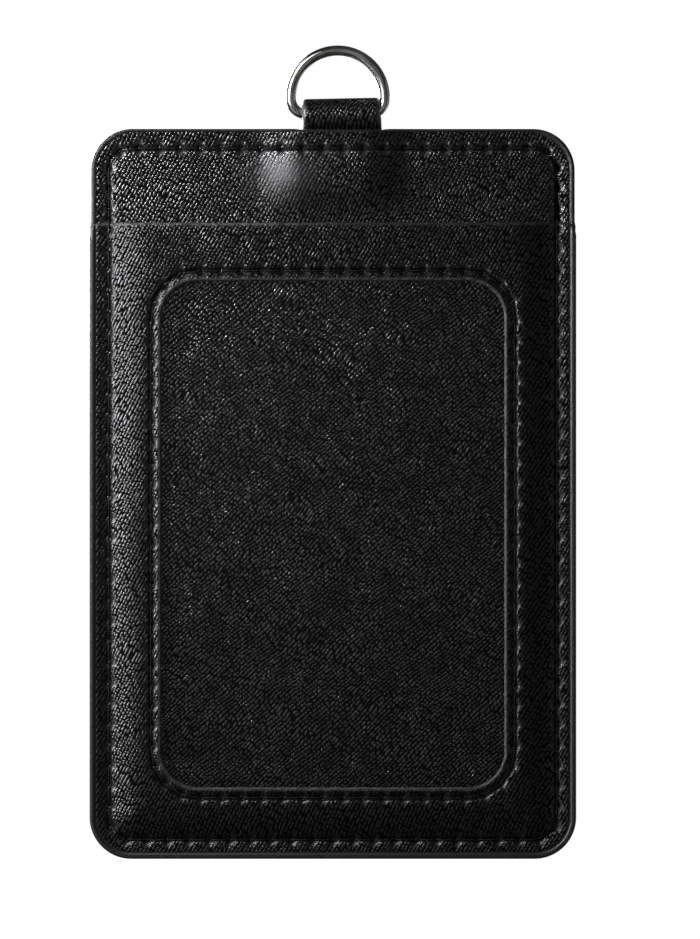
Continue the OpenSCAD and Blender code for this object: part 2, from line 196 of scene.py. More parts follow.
def roundHoles(x, z, line, loop):  # the points near each hole, and where they lie from it
    for px, pz, turn in headings(line, loop):
        near = np.flatnonzero((np.abs(x - px) < relief["reach"]) & (np.abs(z - pz) < relief["reach"]))
        yield near, x[near] - px, z[near] - pz, turn


def needleMarks(x, z, line, loop=False):  # slanted pits, and the leather drawn up beside them
    marks = np.zeros_like(x)
    (offU, offV), (sizeU, sizeV) = relief["puckerOff"], relief["puckerSize"]
    for near, dx, dz, turn in roundHoles(x, z, line, loop):
        slant = turn + relief["pitSlant"]
        u = dx * math.cos(slant) + dz * math.sin(slant)
        v = dz * math.cos(slant) - dx * math.sin(slant)
        marks[near] -= relief["pit"] * np.exp(-(u / relief["pitLong"]) ** 2 - (v / relief["pitWide"]) ** 2)
        marks[near] -= relief["dimple"] * np.exp(-(u * u + v * v) / relief["dimpleR"] ** 2)
        for side in (1, -1):
            marks[near] += relief["pucker"] * np.exp(
                -((u - side * offU) / sizeU) ** 2 - ((v - side * offV) / sizeV) ** 2)
    return marks


def drawnTight(x, z, line, loop=False):  # 1 where a stitch stretches the leather smooth
    tight = np.zeros_like(x)
    for near, dx, dz, _ in roundHoles(x, z, line, loop):
        tight[near] = np.maximum(tight[near], bell(np.hypot(dx, dz), relief["tight"]))
    return tight


def slowWaves(x, z, seed, lie, rim=math.inf):  # the uneven lie of a hand-laid sheet, flat along its rim
    draw = np.random.default_rng(seed)
    size, flatTo, slope = lie
    waves = np.zeros_like(x)
    for _ in range(7):
        length, turn, start = draw.uniform(9, 34), draw.uniform(0, math.pi), draw.uniform(0, 6.3)
        waves += length * np.sin((x * math.cos(turn) + z * math.sin(turn)) * 6.28 / length + start)
    return size * waves / 60 * ramp((rim - flatTo) / slope)


def rimShape(rim, shift=0):
    deep, at, wide = relief["step"]
    more, near, far = relief["lean"]
    low = deep * ramp((rim + shift - at) / wide) + more * ramp((rim + shift - near) / (far - near))
    low *= 1 - ramp((rim - relief["climb"][0]) / relief["climb"][1])
    return -low - bell(rim, relief["valley"]) - bell(rim, relief["dip"])


def moundLift(x, z):  # the strap's end under the base skin
    (leftOut, leftLong), (rightOut, rightLong) = strap["moundLeft"], strap["moundRight"]
    footOut, footLong = strap["moundFoot"]
    across = ramp((x - strap["left"] + leftOut) / leftLong)
    across = across * ramp((strap["right"] + rightOut - x) / rightLong)
    return strap["mound"] * across * ramp((z - strap["foot"] + footOut) / footLong)


def topNarrow(x, z):  # along the top the painted bead is only a thin line
    share, high, slope, halfW, end = relief["topLine"]
    return share * ramp((z - wallet["top"] + high) / slope) * ramp((halfW - np.abs(x - middleX)) / end)


def skinFace(x, z, seed=3):
    rim = fromRim(x, z, False)
    rise, start, wide = relief["skinRise"]
    face = wallet["skinFace"] + rimShape(rim, topNarrow(x, z)) + moundLift(x, z)
    face += rise * ramp((rim - start) / wide) + slowWaves(x, z, seed, relief["skinWaves"], rim)
    return face + needleMarks(x, z, upperLine)


def pocketRise(rim):
    u = np.clip((rim - relief["riseFrom"]) / (relief["riseTo"] - relief["riseFrom"]), 0, 1)
    return 1 - (1 - u) ** relief["riseBend"]


def windowLean(out):
    deep, at, inner, outer = relief["windowDip"]
    return deep * np.exp(-((out - at) / np.where(out < at, inner, outer)) ** 2)


def foldDrop(x, z):  # the folded mouth bends over, up to its edge
    return relief["fold"] * np.clip(1 - (mouthZ - z) / relief["foldLong"], 0, 1) ** 2


def pocketFace(x, z, side, marks=True):
    pocket, rim, out = pockets[side], fromRim(x, z, True), fromWindow(x, z)
    face = wallet["rimFace"] + (pocket["face"] - pocket["room"] - wallet["rimFace"]) * pocketRise(rim)
    if marks:
        face += rimShape(rim) + needleMarks(x, z, lowerLine)
    if marks and side == "front":
        face -= bell(out, relief["windowValley"]) + windowLean(out)
        face -= relief["roll"] * np.clip(1 - (out - relief["rollFrom"]) / relief["rollLong"], 0, 1) ** 2
        face += needleMarks(x, z, windowHoles, True)
    face -= foldDrop(x, z)
    return np.minimum(face + slowWaves(x, z, pocket["seed"], relief["pocketWaves"], rim), pocket["face"])


def pocketInside(x, z, side):  # with the hem turned in along the mouth
    hem = pockets[side]["hem"] * ramp((fromRim(x, z, True) - 6.4) / 0.4) * ramp((z - mouthZ + 5.0) / 0.2)
    return pocketFace(x, z, side, False) - wallet["leather"] - hem


# meshes from rings of points

weldGap = 2e-6  # metres


def narrowing(z, pinch):  # the base's share that is missing at a height
    return pinch * ramp((z - mouthZ + wallet["pinchFrom"]) / wallet["pinchOver"])


def lineRun(x0, z0, x1, z1, count):
    t = np.linspace(0, 1, count, endpoint=False)
    return np.stack([x0 + (x1 - x0) * t, z0 + (z1 - z0) * t], 1)


def arcRun(x, z, r, a0, a1, count):
    a = np.radians(np.linspace(a0, a1, count, endpoint=False))
    return np.stack([x + r * np.cos(a), z + r * np.sin(a)], 1)


def ringPoints(form, inset, counts):  # a rounded outline, from its lower left corner up and round
    left, right = form["left"] + inset, form["right"] - inset
    foot, top = form["foot"] + inset, form["top"] - inset
    footR, topR = (max(form[r] - inset, wallet["leastR"]) for r in ("footR", "topR"))
    up, over, bend, low = counts["side"], counts["topBend"], counts["footBend"], counts.get("low", 0)
    split = form.get("split", foot + footR)  # the points are closer above it than below it
    flat = np.concatenate([
        lineRun(left, foot + footR, left, split, low),
        lineRun(left, split, left, top - topR, up),
        arcRun(left + topR, top - topR, topR, 180, 90, over),
        lineRun(left + topR, top, right - topR, top, counts["top"]),
        arcRun(right - topR, top - topR, topR, 90, 0, over),
        lineRun(right, top - topR, right, split, up),
        lineRun(right, split, right, foot + footR, low),
        arcRun(right - footR, foot + footR, footR, 0, -90, bend),
        lineRun(right - footR, foot, left + footR, foot, counts["foot"]),
        arcRun(left + footR, foot + footR, footR, -90, -180, bend)])
    flat[:, 0] -= (flat[:, 0] - middleX) * narrowing(flat[:, 1], form.get("pinch", 0))
    return flat


def addObject(name, data):
    made = bpy.data.objects.new(name, data)
    bpy.context.scene.collection.objects.link(made)
    return made


def makeMesh(name, points, faces, marks=None, smooth=True, weld=False):
    mesh = bpy.data.meshes.new(name)
    mesh.from_pydata(np.asarray(points) * mm, [], faces)
    for label, values in (marks or {}).items():
        mesh.attributes.new(label, "FLOAT", "POINT").data.foreach_set("value", np.asarray(values, np.float32))
    tidy = bmesh.new()
    tidy.from_mesh(mesh)
    if weld:
        bmesh.ops.remove_doubles(tidy, verts=tidy.verts, dist=weldGap)
    bmesh.ops.recalc_face_normals(tidy, faces=tidy.faces)
    tidy.to_mesh(mesh)
    tidy.free()
    mesh.polygons.foreach_set("use_smooth", [smooth] * len(mesh.polygons))
    return addObject(name, mesh)


def ringFaces(ringCount, size, closed, shutEnds=False, skip=()):  # quads between rings of points
    here = np.arange(size)
    after = (here + 1) % size
    faces = []
    for at in sorted(set(range(ringCount - (0 if closed else 1))) - set(skip)):
        a, b = at * size, ((at + 1) % ringCount) * size
        faces.append(np.stack([a + here, a + after, b + after, b + here], 1))
    faces = np.concatenate(faces).tolist()
    if shutEnds:
        faces.append(list(range(size)))
        faces.append(list(range((ringCount - 1) * size, ringCount * size)))
    return faces


def tubes(name, parts, marks=None, closed=False):  # one piece from runs of rings
    faces, base = [], 0
    for rings in parts:
        faces += [[at + base for at in face]
                  for face in ringFaces(len(rings), len(rings[0]), closed, not closed)]
        base += len(rings) * len(rings[0])
    return makeMesh(name, np.concatenate([ring for rings in parts for ring in rings]), faces, marks)


def steps(*runs):  # insets from runs of (first, last, about how far apart)
    found = []
    for first, last, gap in runs:
        found += list(np.linspace(first, last, max(1, round(abs(last - first) / gap)), endpoint=False))
    return found


cutEdge = {  # how a cut edge runs down to a sheet's back, and how raw it looks
    "rawTurn": 0.3, "rawLip": 0.4,  # raw up to this turn of the rounded edge, and so raw on a lip
    "wall": (0.15, 0.5, 0.85), "wallTop": 0.7, "wallFoot": 0.08,
    "holeIn": 0.02, "holeUp": 0.03, "rimIn": 0.02, "rimFrom": 0.15, "rimUp": 0.1,
    "spineEnd": 1,  # a sheet's middle line stops so far short
}


def sheetPiece(name, sheet, face, back, hole=None):
    # A leather or cloth sheet: its face from the outline in, then its hole's edge or its middle,
    # and its back out again. face and back give the depths of its two sides at points x, z.
    outline, counts, edgeR, sign = sheet["outline"], sheet["counts"], sheet["edgeR"], sheet["sign"]
    rows, rub, cut = [], [], []

    def addRow(flat, depth, rubbed, raw=0):
        rows.append(np.stack([flat[:, 0], -sign * depth, flat[:, 1]], 1))
        for kept, value in ((rub, rubbed), (cut, raw)):
            kept.append(np.broadcast_to(np.asarray(value, float), len(flat)))

    def faceRow(flat, raw=0):
        addRow(flat, face(*flat.T), sheet["rub"](*flat.T), raw)

    def backRow(flat):
        addRow(flat, back(*flat.T), 0)

    start = sheet["start"]
    faceTop = face(*ringPoints(outline, start + edgeR, counts).T)
    for turn in np.radians(sheet["shoulder"]):  # the rounded edge, from its waist up to the face
        flat = ringPoints(outline, start + edgeR * (1 - math.cos(turn)), counts)
        # the raw mark: 1 on the cut edge, else the sheet's painted highlight along the fold
        raw = 1 if turn < cutEdge["rawTurn"] else sheet["paintedHighlight"](*flat.T)
        addRow(flat, faceTop - edgeR * (1 - math.sin(turn)), 1, raw)
    for inset in sheet["insets"]:
        flat = ringPoints(outline, inset, counts)
        faceRow(flat, sheet["paintedHighlight"](*flat.T))
    last = flat
    if hole:
        inner = ringPoints(hole, -sheet["offsets"][0], counts)
    else:
        reach = (outline["right"] - outline["left"]) / 2 - cutEdge["spineEnd"]
        inner = np.stack([np.full(len(last), middleX),
                          np.clip(last[:, 1], outline["foot"] + reach, outline["top"] - reach)], 1)
    for share in np.linspace(0, 1, sheet["bridge"] + 1)[1:(-1 if hole else None)]:
        faceRow(last + (inner - last) * share)
    spine = () if hole else (len(rows) - 1,)  # the middle, where face and back don't meet
    if hole:
        for offset in sheet["offsets"]:
            faceRow(ringPoints(hole, -offset, counts))
        slope, lipR = sheet["slope"], sheet["lipR"]
        lipTop = face(*ringPoints(hole, -slope - lipR, counts).T)
        for turn in np.radians(sheet["lip"]):  # over the lip and down the hole's cut edge
            addRow(ringPoints(hole, -slope - lipR * (1 - math.cos(turn)), counts),
                   lipTop - lipR * (1 - math.sin(turn)), 1, cutEdge["rawLip"])
        high = lipTop - lipR * cutEdge["wallTop"]
        for share in cutEdge["wall"]:
            flat = ringPoints(hole, -slope * (1 - share), counts)
            addRow(flat, high + (back(*flat.T) + cutEdge["wallFoot"] - high) * share, 1, 1)
        flat = ringPoints(hole, -cutEdge["holeIn"], counts)
        addRow(flat, back(*flat.T) + cutEdge["holeUp"], 1, 1)
        for offset in sheet["backOffsets"]:
            inner = ringPoints(hole, -offset, counts)
            backRow(inner)
    backLast = ringPoints(outline, sheet["backInsets"][0], counts)
    for share in np.linspace(1, 0, sheet["backBridge"] + 1)[(1 if hole else 0):-1]:
        backRow(backLast + (inner - backLast) * share)
    for inset in sheet["backInsets"]:
        backRow(ringPoints(outline, inset, counts))
    low = back(*ringPoints(outline, start + cutEdge["rimFrom"], counts).T)
    addRow(ringPoints(outline, start + cutEdge["rimIn"], counts), low + cutEdge["rimUp"], 1, 1)
    return makeMesh(name, np.concatenate(rows), ringFaces(len(rows), len(rows[0]), True, skip=spine),
                    {"rub": np.concatenate(rub), "cut": np.concatenate(cut)}, weld=not hole)


# shader maths

def operator(operation, reflected=False):
    return lambda self, other: self.maths(operation, *((other, self) if reflected else (self, other)))


class Wire:  # one socket of a material; sums on wires add their own nodes
    def __init__(self, tree, socket=None):
        self.tree, self.socket = tree, socket

    def node(self, kind, settings=None, sockets=None, out=0):
        made = self.tree.nodes.new(kind)
        for name, value in (settings or {}).items():
            setattr(made, name, value)
        for name, value in (sockets or {}).items():
            if isinstance(value, Wire):
                self.tree.links.new(value.socket, made.inputs[name])
            else:
                made.inputs[name].default_value = value
        return Wire(self.tree, made.outputs[out])

    def maths(self, operation, first, second=None):
        if "VECTOR" in [w.socket.type for w in (first, second) if isinstance(w, Wire)]:
            grown = [value if isinstance(value, (Wire, tuple)) else (value,) * 3 for value in (first, second)]
            return self.node("ShaderNodeVectorMath", {"operation": operation}, dict(enumerate(grown)))
        sockets = {0: first} if second is None else {0: first, 1: second}
        return self.node("ShaderNodeMath", {"operation": operation}, sockets)

    __add__ = __radd__ = operator("ADD")
    __mul__ = __rmul__ = operator("MULTIPLY")
    __sub__, __rsub__ = operator("SUBTRACT"), operator("SUBTRACT", True)
    __truediv__, __pow__ = operator("DIVIDE"), operator("POWER")

    def within(self, low, high):  # 0 below low, 1 above high, smooth between
        return self.node("ShaderNodeMapRange", {"interpolation_type": "SMOOTHSTEP"},
                         {"Value": self, "From Min": low, "From Max": high})

    def sine(self):
        return self.maths("SINE", self)

    def dot(self, way):
        return self.node("ShaderNodeVectorMath", {"operation": "DOT_PRODUCT"}, {0: self, 1: way}, 1)

    def part(self, axis):
        return self.node("ShaderNodeSeparateXYZ", None, {0: self}, axis)

    def noise(self, scale, detail=2, rough=0.5, out=0):
        return self.node("ShaderNodeTexNoise", None,
                         {"Vector": self, "Scale": scale, "Detail": detail, "Roughness": rough}, out)

    def mixed(self, first, second):  # colours, by this wire's value
        return self.node("ShaderNodeMix", {"data_type": "RGBA"}, {0: self, 6: first, 7: second}, 2)

    def bump(self, distance):
        return self.node("ShaderNodeBump", None, {"Height": self, "Distance": distance * mm, "Strength": 1.0})

    def stored(self, label):  # a value stored on the mesh
        return self.node("ShaderNodeAttribute", {"attribute_name": label}, out=2)

    def surface(self, colour, rough, normal, more):
        return self.node("ShaderNodeBsdfPrincipled", None,
                         {"Base Color": colour, "Roughness": rough, "Normal": normal, **more})

    def finish(self, look, tone, rough, height, more):  # two tones, uneven in gloss and height
        return self.surface(tone.mixed(look["dark"], look["pale"]), look["rough"] + rough * look["roughMore"],
                            height.bump(look["height"]), more)


def material(name, recipe):
    made = bpy.data.materials.new(name)
    made.use_nodes = True
    tree = made.node_tree
    tree.nodes.clear()
    start = Wire(tree)
    place = start.node("ShaderNodeTexCoord", out=3) * (1 / mm)  # object space, in millimetres
    shader = recipe(start, place)
    tree.links.new(shader.socket, tree.nodes.new("ShaderNodeOutputMaterial").inputs["Surface"])
    return made


leatherLook = {
    # frayed: the raw cut edges' colour, which also paints the highlight along a pocket's fold
    "tone": (0.0036, 0.0034, 0.0042, 1), "frayedAndHighlight": (0.09, 0.088, 0.09, 1), "dark": 0.55,
    "along": 0.53, "across": 0.5,  # pebbles sit in uneven rows, so far apart
    "turn": 1.05, "deep": 0.7,  # which way they run, also into the leather
    "sway": ((0.11, 3.6), (0.42, 1.15)),  # how the rows wander: scale of the noise, and how far
    "jitter": 0.55, "dome": 0.62,  # how uneven and how round they are
    "height": 0.058, "row": 0.19, "fine": 0.06,
    "shine": (0.34, 0.78),  # how high on a pebble it shines; below that the valleys take the painted shade
    "rough": 0.24, "ior": 1.6, "tint": (0.98, 0.96, 1, 1),
    "coat": 0.1, "coatRough": 0.25, "valleyRough": 0.7, "valleyGloss": 0.04,
}
coveredLook = dict(leatherLook, height=0.075, rough=0.2, turn=0.75, shine=(0.5, 0.9),
                   tint=(1, 1, 1, 1))  # the skin behind the film keeps a fresher grain, with more of it in the valleys' painted shade


def leather(paintedPebbleHighlight, seed, gloss, look=leatherLook):
    def recipe(start, place):
        swayed = shifted = place + (seed * 7.3, seed * 3.1, seed * 5.7)
        for scale, far in look["sway"]:
            swayed = swayed + shifted.noise(scale, 1, out=1) * far
        c, n, along, across = math.cos(look["turn"]), math.sin(look["turn"]), look["along"], look["across"]
        u = swayed.dot((c / along, look["deep"] * n / along, n / along))
        v = swayed.dot((-n / across, look["deep"] * c / across, c / across))
        spot = start.node("ShaderNodeCombineXYZ", None, {0: u, 1: v})
        cell = start.node("ShaderNodeTexVoronoi", {"feature": "F1", "voronoi_dimensions": "2D"},
                          {"Vector": spot, "Scale": 1.0, "Randomness": look["jitter"]})
        dome = 1 - (cell / look["dome"]) ** 2
        row = (v * 6.2832).sine()
        uneven = shifted.noise(0.7, 2)
        pebbles = dome * (0.5 + uneven) + row * look["row"]
        fine, cloudy = shifted.noise(7, 3, 0.6), shifted.noise(0.07, 3)
        rub, raw = start.stored("rub"), start.stored("cut")
        normal = (pebbles * (1 - rub) + fine * look["fine"]).bump(look["height"])
        # dark is the tone darkened: the painted shade in the valleys, and the darker side of the random
        # clouds
        dark = tuple(t * look["dark"] for t in look["tone"][:3]) + (1,)
        # the pebbles' tops are painted paler than the tone: a painted highlight on every pebble
        top = pebbles.within(0.4, 1.0) * (1 - rub * 0.6)
        face = top.mixed(cloudy.mixed(look["tone"], dark), (paintedPebbleHighlight, paintedPebbleHighlight * 0.98, paintedPebbleHighlight, 1))
        # raw cut edges are paler in patches; on a pocket the same mark paints a highlight along the fold
        frayedAndHighlight = raw * (0.25 + 0.9 * shifted.noise(1.9, 1).within(0.38, 0.62))
        colour = frayedAndHighlight.mixed(face, look["frayedAndHighlight"])
        shine = (pebbles.within(*look["shine"]) + rub + raw).within(0, 1)
        rough = look["rough"] + fine * 0.06 + cloudy * 0.06 + rub * 0.13 + raw * 0.2
        high = start.surface(colour, rough, normal, {
            "Specular IOR Level": gloss, "IOR": look["ior"], "Specular Tint": look["tint"],
            "Coat Weight": look["coat"], "Coat Roughness": look["coatRough"]})
        low = start.surface(dark, look["valleyRough"], normal, {  # the valleys between pebbles stay dull, and their darker colour is painted shade
            "Specular IOR Level": look["valleyGloss"]})
        return start.node("ShaderNodeMixShader", None, {0: shine, 1: low, 2: high})
    return recipe


metalLook = {
    "across": 5, "along": 2.2,  # drawing marks run along the wire, round the ring's arc
    "dark": (0.26, 0.24, 0.22, 1), "pale": (0.9, 0.89, 0.88, 1),
    "rough": 0.05, "roughMore": 0.09, "height": 0.008,
}
clothLook = {
    "warp": 24, "weft": 21, "dark": (0.006, 0.006, 0.007, 1), "pale": (0.022, 0.022, 0.025, 1),
    "rough": 0.72, "roughMore": 0.2, "sheen": 0.15, "height": 0.05,
}
filmLook = {"tone": (0.02, 0.02, 0.02, 1), "rough": 0.08, "roughMore": 0.06, "veil": 0.04, "haze": 0.05,
            "height": 0.05}
threadLook = {"dark": (0.003, 0.003, 0.004, 1), "pale": (0.012, 0.011, 0.013, 1),
              "rough": 0.5, "roughMore": 0.2, "gloss": 0.18, "height": 0.03}
paintLook = {"dark": (0.01, 0.0098, 0.01, 1), "pale": (0.03, 0.029, 0.03, 1),
             "rough": 0.42, "roughMore": 0.16, "coat": 0.05, "height": 0.05}
boardLook = {"dark": (0.2, 0.14, 0.09, 1), "pale": (0.42, 0.33, 0.22, 1),
             "rough": 0.8, "roughMore": 0.15, "height": 0.08}


def polishedMetal(start, place):
    look, x, z = metalLook, place.part(0), place.part(2) - ring["arcZ"]
    out, turned = (x * x + z * z) ** 0.5, x.maths("ARCTAN2", x, z)
    spot = start.node("ShaderNodeCombineXYZ", None, {
        0: out * look["across"], 1: turned * look["along"], 2: place.part(1) * look["across"]})
    drawn, broad, pits = spot.noise(1.0, 3, 0.6), place.noise(0.45, 2), place.noise(14, 2)
    return start.finish(look, (drawn * 0.7 + broad * 0.3).within(0.36, 0.6), drawn, drawn * 0.8 + pits * 0.2,
                        {"Metallic": 1.0})


def wovenCloth(start, place):
    look = clothLook
    warp, weft = (place.part(0) * look["warp"]).sine(), (place.part(2) * look["weft"]).sine()
    over = (warp * weft).within(-0.2, 0.2)
    height = over * (warp * warp) + (1 - over) * (weft * weft)
    slub = (place * (0.3, 1, 2.5)).noise(1.4, 2)
    return start.finish(look, over * 0.6 + slub * 0.4, slub, height + slub * 0.4,
                        {"Sheen Weight": look["sheen"]})


def clearFilm(start, place):
    look, haze = filmLook, (place * (1, 1, 0.6)).noise(0.09, 3)
    smear = (place * (1, 1, 0.25)).noise(0.8, 3)
    return start.surface(look["tone"], look["rough"] + smear * look["roughMore"],
                         (haze * 4 + smear * 0.1).bump(look["height"]),
                         {"Alpha": look["veil"] + haze * look["haze"]})


def blackThread(start, place):
    fibre = place.noise(16, 3)
    return start.finish(threadLook, fibre * 0.6 + start.stored("along") * 0.4, fibre, fibre,
                        {"Specular IOR Level": threadLook["gloss"]})


def edgePaint(start, place):
    drag = (place * (1, 0.5, 1)).noise(1.2, 3)
    return start.finish(paintLook, drag, drag, drag, {"Coat Weight": paintLook["coat"]})


def bondedBoard(start, place):
    fibres, specks = (place * (0.3, 3, 1)).noise(3, 4), place.noise(6, 2).within(0.6, 0.75)
    return start.finish(boardLook, fibres * 0.7 + specks * 0.3, fibres, fibres, {})


print("materials: leather, metal, cloth, film, thread, paint, board")
looks = {name: material(name, recipe) for name, recipe in (
    # how pale the pebbles' tops are painted, a painted highlight; seed, gloss
    ("frontLeather", leather(0.006, 1, 0.62)),
    ("skinLeather", leather(0.006, 2, 0.92)),
    # behind the film the pebbles' tops are painted palest, a painted highlight that shows the grain there
    ("coveredLeather", leather(0.02, 2, 0.95, coveredLook)),
    ("backLeather", leather(0.008, 3, 0.8)),
    ("strapLeather", leather(0.012, 4, 1.0)),
    ("ringMetal", polishedMetal), ("liningCloth", wovenCloth), ("clearFilm", clearFilm),
    ("blackThread", blackThread), ("edgePaint", edgePaint), ("bondedBoard", bondedBoard))}


def coveredBelow(piece, z, look):  # the part of a skin that a pocket covers has its own finish
    piece.data.materials.append(looks[look])
    middles = np.empty(len(piece.data.polygons) * 3)
    piece.data.polygons.foreach_get("center", middles)
    piece.data.polygons.foreach_set("material_index", (middles[2::3] < z * mm).astype(np.int32))
    piece.data.update()


def place(piece, node, look, slot, rides="wallet"):  # a finished piece stands for its node
    piece.data.materials.clear()
    piece.data.materials.append(looks[look])
    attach(piece, rides)
    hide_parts(node)
    print(f"  {piece.name}: {len(piece.data.polygons)} faces")
    return piece


# leather sheets

smooth = {  # where the leather has no grain; three numbers are how smooth, start and width
    "bead": (0.85, 0.3), "topBead": 1.3,
    "fold": (0.7, 0.15, 0.35),
    "lip": (0.5, 0.15, 0.2), "lipFade": (8, 20),  # the window's lip, less to the right
    "mound": (0.9, 3.0, 5.0, 2.3, 4.0),  # left of the strap's end and above its foot
    "paintedHighlight": (0.8, 0.5), "paintedHighlightLine": (1, 0.3, 0.3), "paintedHighlightFade": (0.8, 16, 20),  # the painted highlight along the fold, in grey patches, fading to the right
}
rimInsets = [0.48] + steps((0.3, 2.2, 0.165), (2.2, 3.4, 0.12), (3.4, 4.5, 0.25))[2:]
pocketOutline = {"left": wallet["left"], "right": wallet["right"], "foot": wallet["foot"], "top": mouthZ,
                 "footR": wallet["cornerR"], "topR": wallet["mouthR"]}
bodyOutline = dict(pocketOutline, top=wallet["top"], topR=wallet["cornerR"], split=mouthZ - 1,
                   pinch=wallet["pinch"])


def beadRub(rim):
    start, wide = smooth["bead"]
    return 1 - ramp((rim - start) / wide)


def pocketRub(x, z):  # 1 where the leather is smooth: the rim's bead and the fold
    much, start, wide = smooth["fold"]
    return np.maximum(beadRub(fromRim(x, z, True)), much * (1 - ramp((mouthZ - z - start) / wide)))


def frontRub(x, z):  # on the front also the window's lip, and a ring round each hole
    much, start, wide = smooth["lip"]
    fadeFrom, fadeLong = smooth["lipFade"]
    lip = much * (1 - ramp((fromWindow(x, z) - start) / wide)) * ramp((middleX + fadeFrom - x) / fadeLong)
    holes = drawnTight(x, z, lowerLine) + drawnTight(x, z, windowHoles, True)
    return np.maximum(np.maximum(pocketRub(x, z), lip), holes)


def paintedFoldHighlight(x, z):  # a painted highlight along the fold's crest, grey in patches and fading to the right
    (middle, swing), (much, fadeFrom, fadeLong) = smooth["paintedHighlight"], smooth["paintedHighlightFade"]
    patch = np.clip(middle + swing * np.sin(x * 0.9 + 2 * np.sin(x * 0.31)) * np.sin(x * 2.3 + 1), 0, 1)
    return patch * (1 - much * ramp((x + fadeFrom) / fadeLong)) * bell(mouthZ - z, smooth["paintedHighlightLine"])


def skinRub(x, z):  # smooth along the rim, and where the strap's end stretches the skin
    much, left, wide, above, high = smooth["mound"]
    rub = beadRub(fromRim(x, z, False) + topNarrow(x, z) * smooth["topBead"])
    stretched = np.exp(-((x - strap["left"] + left) / wide) ** 2 - ((z - strap["foot"] - above) / high) ** 2)
    return np.maximum(rub, np.maximum(much * stretched, drawnTight(x, z, upperLine)))


def skinBack(x, z):
    return np.full_like(x, wallet["skinFace"] - wallet["leather"]) + moundLift(x, z) * strap["moundBack"]


def unmarked(x, z):
    return np.zeros_like(x)


frontSheet = {
    "outline": pocketOutline, "sign": 1, "start": 0.12, "edgeR": 0.34, "shoulder": (5, 30, 55, 75),
    "counts": {"side": 400, "topBend": 44, "top": 200, "footBend": 50, "foot": 272},
    "insets": rimInsets, "bridge": 6,
    "offsets": steps((3.3, 2.4, 0.3), (2.4, 1.1, 0.11), (1.1, 0.5, 0.12)),
    "lip": (75, 50, 25), "lipR": 0.12, "slope": 0.16, "backOffsets": [0.6, 1.6], "backBridge": 3,
    "backInsets": [6, 3.2, 0.6], "rub": frontRub, "paintedHighlight": paintedFoldHighlight,
}


def pocketPiece(side, sheet, hole=None):
    print(side + " pocket")
    face, inner = partial(pocketFace, side=side), partial(pocketInside, side=side)
    return place(sheetPiece(side + "Pocket", sheet, face, inner, hole),
                 side + "_panel", side + "Leather", "grain_leather")


frontPocket = pocketPiece("front", frontSheet, windowHole)
skinSheet = dict(frontSheet, outline=bodyOutline, bridge=58, backBridge=12, backInsets=[5, 0.6],
                 rub=skinRub, paintedHighlight=unmarked, counts={
                     "side": 60, "low": 110, "topBend": 50, "top": 300, "footBend": 20, "foot": 90})
print("base skins")
for side, sign, seed in (("front", 1, 3), ("back", -1, 8)):
    sheet, face = dict(skinSheet, sign=sign), partial(skinFace, seed=seed)
    skin = place(sheetPiece(side + "Skin", sheet, face, skinBack),
                 f"base_{side}_skin", "skinLeather", "grain_leather")
    coveredBelow(skin, bodyOutline["split"], "coveredLeather")
pocketPiece("back", dict(frontSheet, sign=-1, bridge=30, backBridge=10, rub=pocketRub,
                         counts=dict(frontSheet["counts"], topBend=16, top=160)))


# linings and film

lining = {
    "thick": 0.18, "clear": 0.5,  # it stands back from the window's edge
    "frontTop": 0.95, "backTop": 5.15,  # below the mouth
    "narrower": 0.5, "frontShort": 1.2, "backShort": 5.4,  # cut smaller than the pocket
}
film = {"face": 2.77, "thick": 0.3, "seed": 21, "waves": (0.05, 0, 1), "bend": (6.3, 0.5)}
thinSheet = {
    "sign": 1, "start": 0.25, "edgeR": 0.07, "shoulder": (0, 45, 80), "rub": unmarked, "paintedHighlight": unmarked,
    "counts": {"side": 140, "topBend": 6, "top": 100, "footBend": 24, "foot": 110},
    "insets": steps((0.5, 3, 0.6), (3, 5, 0.3)), "bridge": 8, "offsets": [3.2, 2, 1.2],
    "lip": (60, 20), "lipR": 0.05, "slope": 0.06, "backOffsets": [0.3, 2], "backBridge": 6,
    "backInsets": [5, 3, 0.6],
}
liningHole = {side: at + lining["clear"] * (-1 if side in ("left", "foot") else 1)
              for side, at in windowHole.items()}


def liningFace(x, z, side, under=0):
    start, wide = film["bend"]
    room = pockets[side]["film"] * ramp((fromRim(x, z, True) - start) / wide)
    return pocketFace(x, z, side, False) - wallet["leather"] - wallet["air"] - room - under


def liningPiece(side, hole=None, **more):
    sheet = dict(thinSheet, outline=dict(pocketOutline, top=mouthZ - lining[side + "Top"]), **more)
    face = partial(liningFace, side=side)
    return place(sheetPiece(side + "Lining", sheet, face, partial(face, under=lining["thick"]), hole),
                 side + "_lining", "liningCloth", "lining_cloth")


print("linings and film")
frontLining = liningPiece("front", liningHole)
backLining = liningPiece("back", sign=-1, bridge=24, backBridge=16)
for sheet in (frontPocket, frontLining):  # light reaches the skin behind the film without a hard shadow
    sheet.visible_shadow = False

filmOutline = {"left": wallet["left"] + 6.9, "right": wallet["right"] - 6.9, "foot": wallet["foot"] + 6.9,
               "top": mouthZ - 5.2, "footR": 2.5, "topR": 0.8}
filmSheet = dict(thinSheet, outline=filmOutline, start=0, insets=[0.3, 1.5], bridge=26, backBridge=10,
                 backInsets=[0.6], counts={"side": 70, "topBend": 4, "top": 50, "footBend": 8, "foot": 50})


def filmFace(x, z, under=0):
    inside = pocketFace(x, z, "front", False) - wallet["leather"] - wallet["air"]
    return np.minimum(film["face"] + slowWaves(x, z, film["seed"], film["waves"]), inside) - under


place(sheetPiece("windowFilm", filmSheet, filmFace, partial(filmFace, under=film["thick"])),
      "window_film", "clearFilm", "clear_film")


# the painted edge

